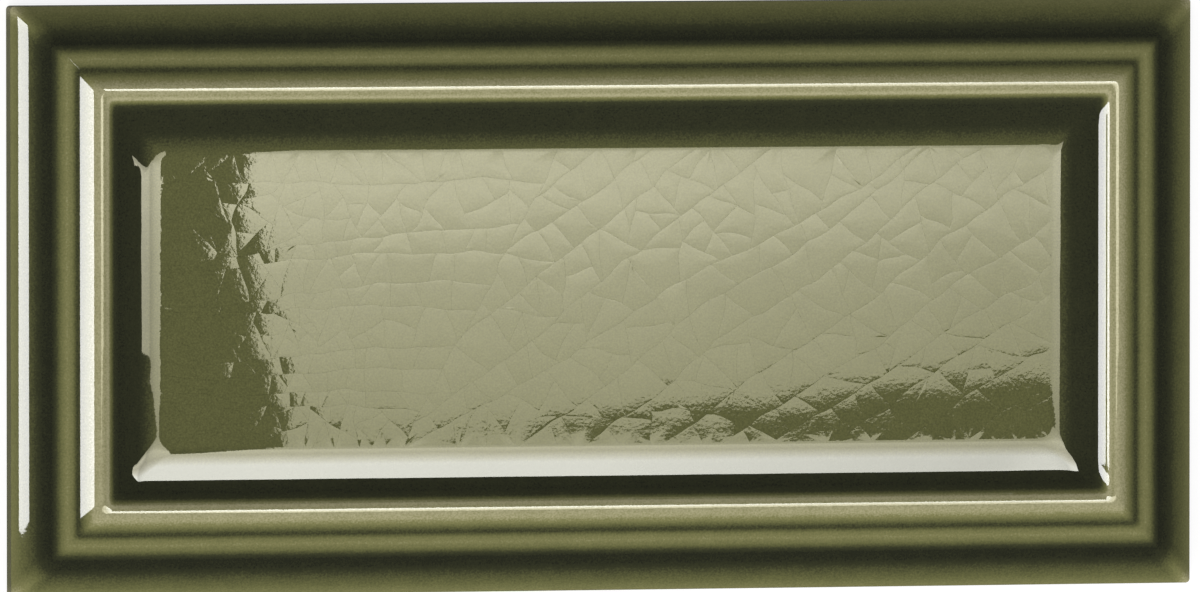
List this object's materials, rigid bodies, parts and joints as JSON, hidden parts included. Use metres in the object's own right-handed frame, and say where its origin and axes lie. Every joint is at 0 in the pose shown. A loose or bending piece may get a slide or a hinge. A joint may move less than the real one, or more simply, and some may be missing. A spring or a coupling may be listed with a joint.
{
  "type": "crackle glaze wall tile",
  "caption": "Oblong ceramic wall tile with a sunk crackle-glazed panel in a stepped, mitred picture-frame moulding, and a keyed back that adhesive holds.",
  "frame": {"origin": "middle of the back, on the surface that the tile lies on", "axes": "+X along the tile's length, +Y across its width, +Z out of the glazed face"},
  "size_m": [0.149, 0.073, 0.009],
  "materials": {
    "glaze": "glossy olive green glaze, dark where it pools and pale where it runs thin, over a cream fired body"
  },
  "bodies": {
    "root": {"tile": "glaze"}
  },
  "joints": []
}
